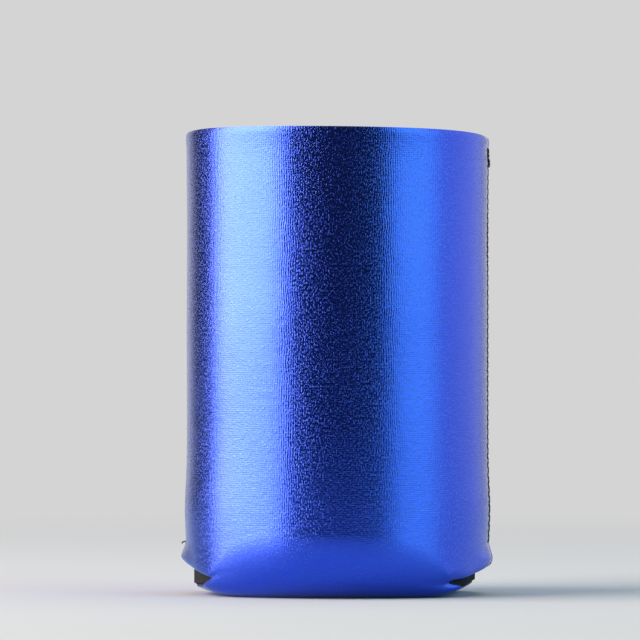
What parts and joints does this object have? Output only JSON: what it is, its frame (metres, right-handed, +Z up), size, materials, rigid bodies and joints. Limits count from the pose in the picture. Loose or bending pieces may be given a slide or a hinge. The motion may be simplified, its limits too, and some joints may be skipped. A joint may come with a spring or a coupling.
{
  "type": "can cooler sleeve",
  "caption": "Collapsible foam sleeve with a metallic blue knit face that slips over a drinks can, open at the top, folded under at the base and sewn up both sides.",
  "frame": {"origin": "middle of the flat underside that the sleeve stands on", "axes": "+Z up out of the open top, -Y out of the front panel, +X towards the right side seam seen from the front"},
  "size_m": [0.0762, 0.0742, 0.1122],
  "materials": {
    "metallic_knit": "metallic foil-coated fine knit, royal blue, satin sheen",
    "black_foam": "open-cell black foam, matt, bare on the inside and at every cut edge",
    "seam_thread": "spun polyester sewing thread, black"
  },
  "bodies": {
    "root": {"sleeve_sheet": "metallic_knit", "left_seam_thread": "seam_thread", "right_seam_thread": "seam_thread"}
  },
  "joints": []
}
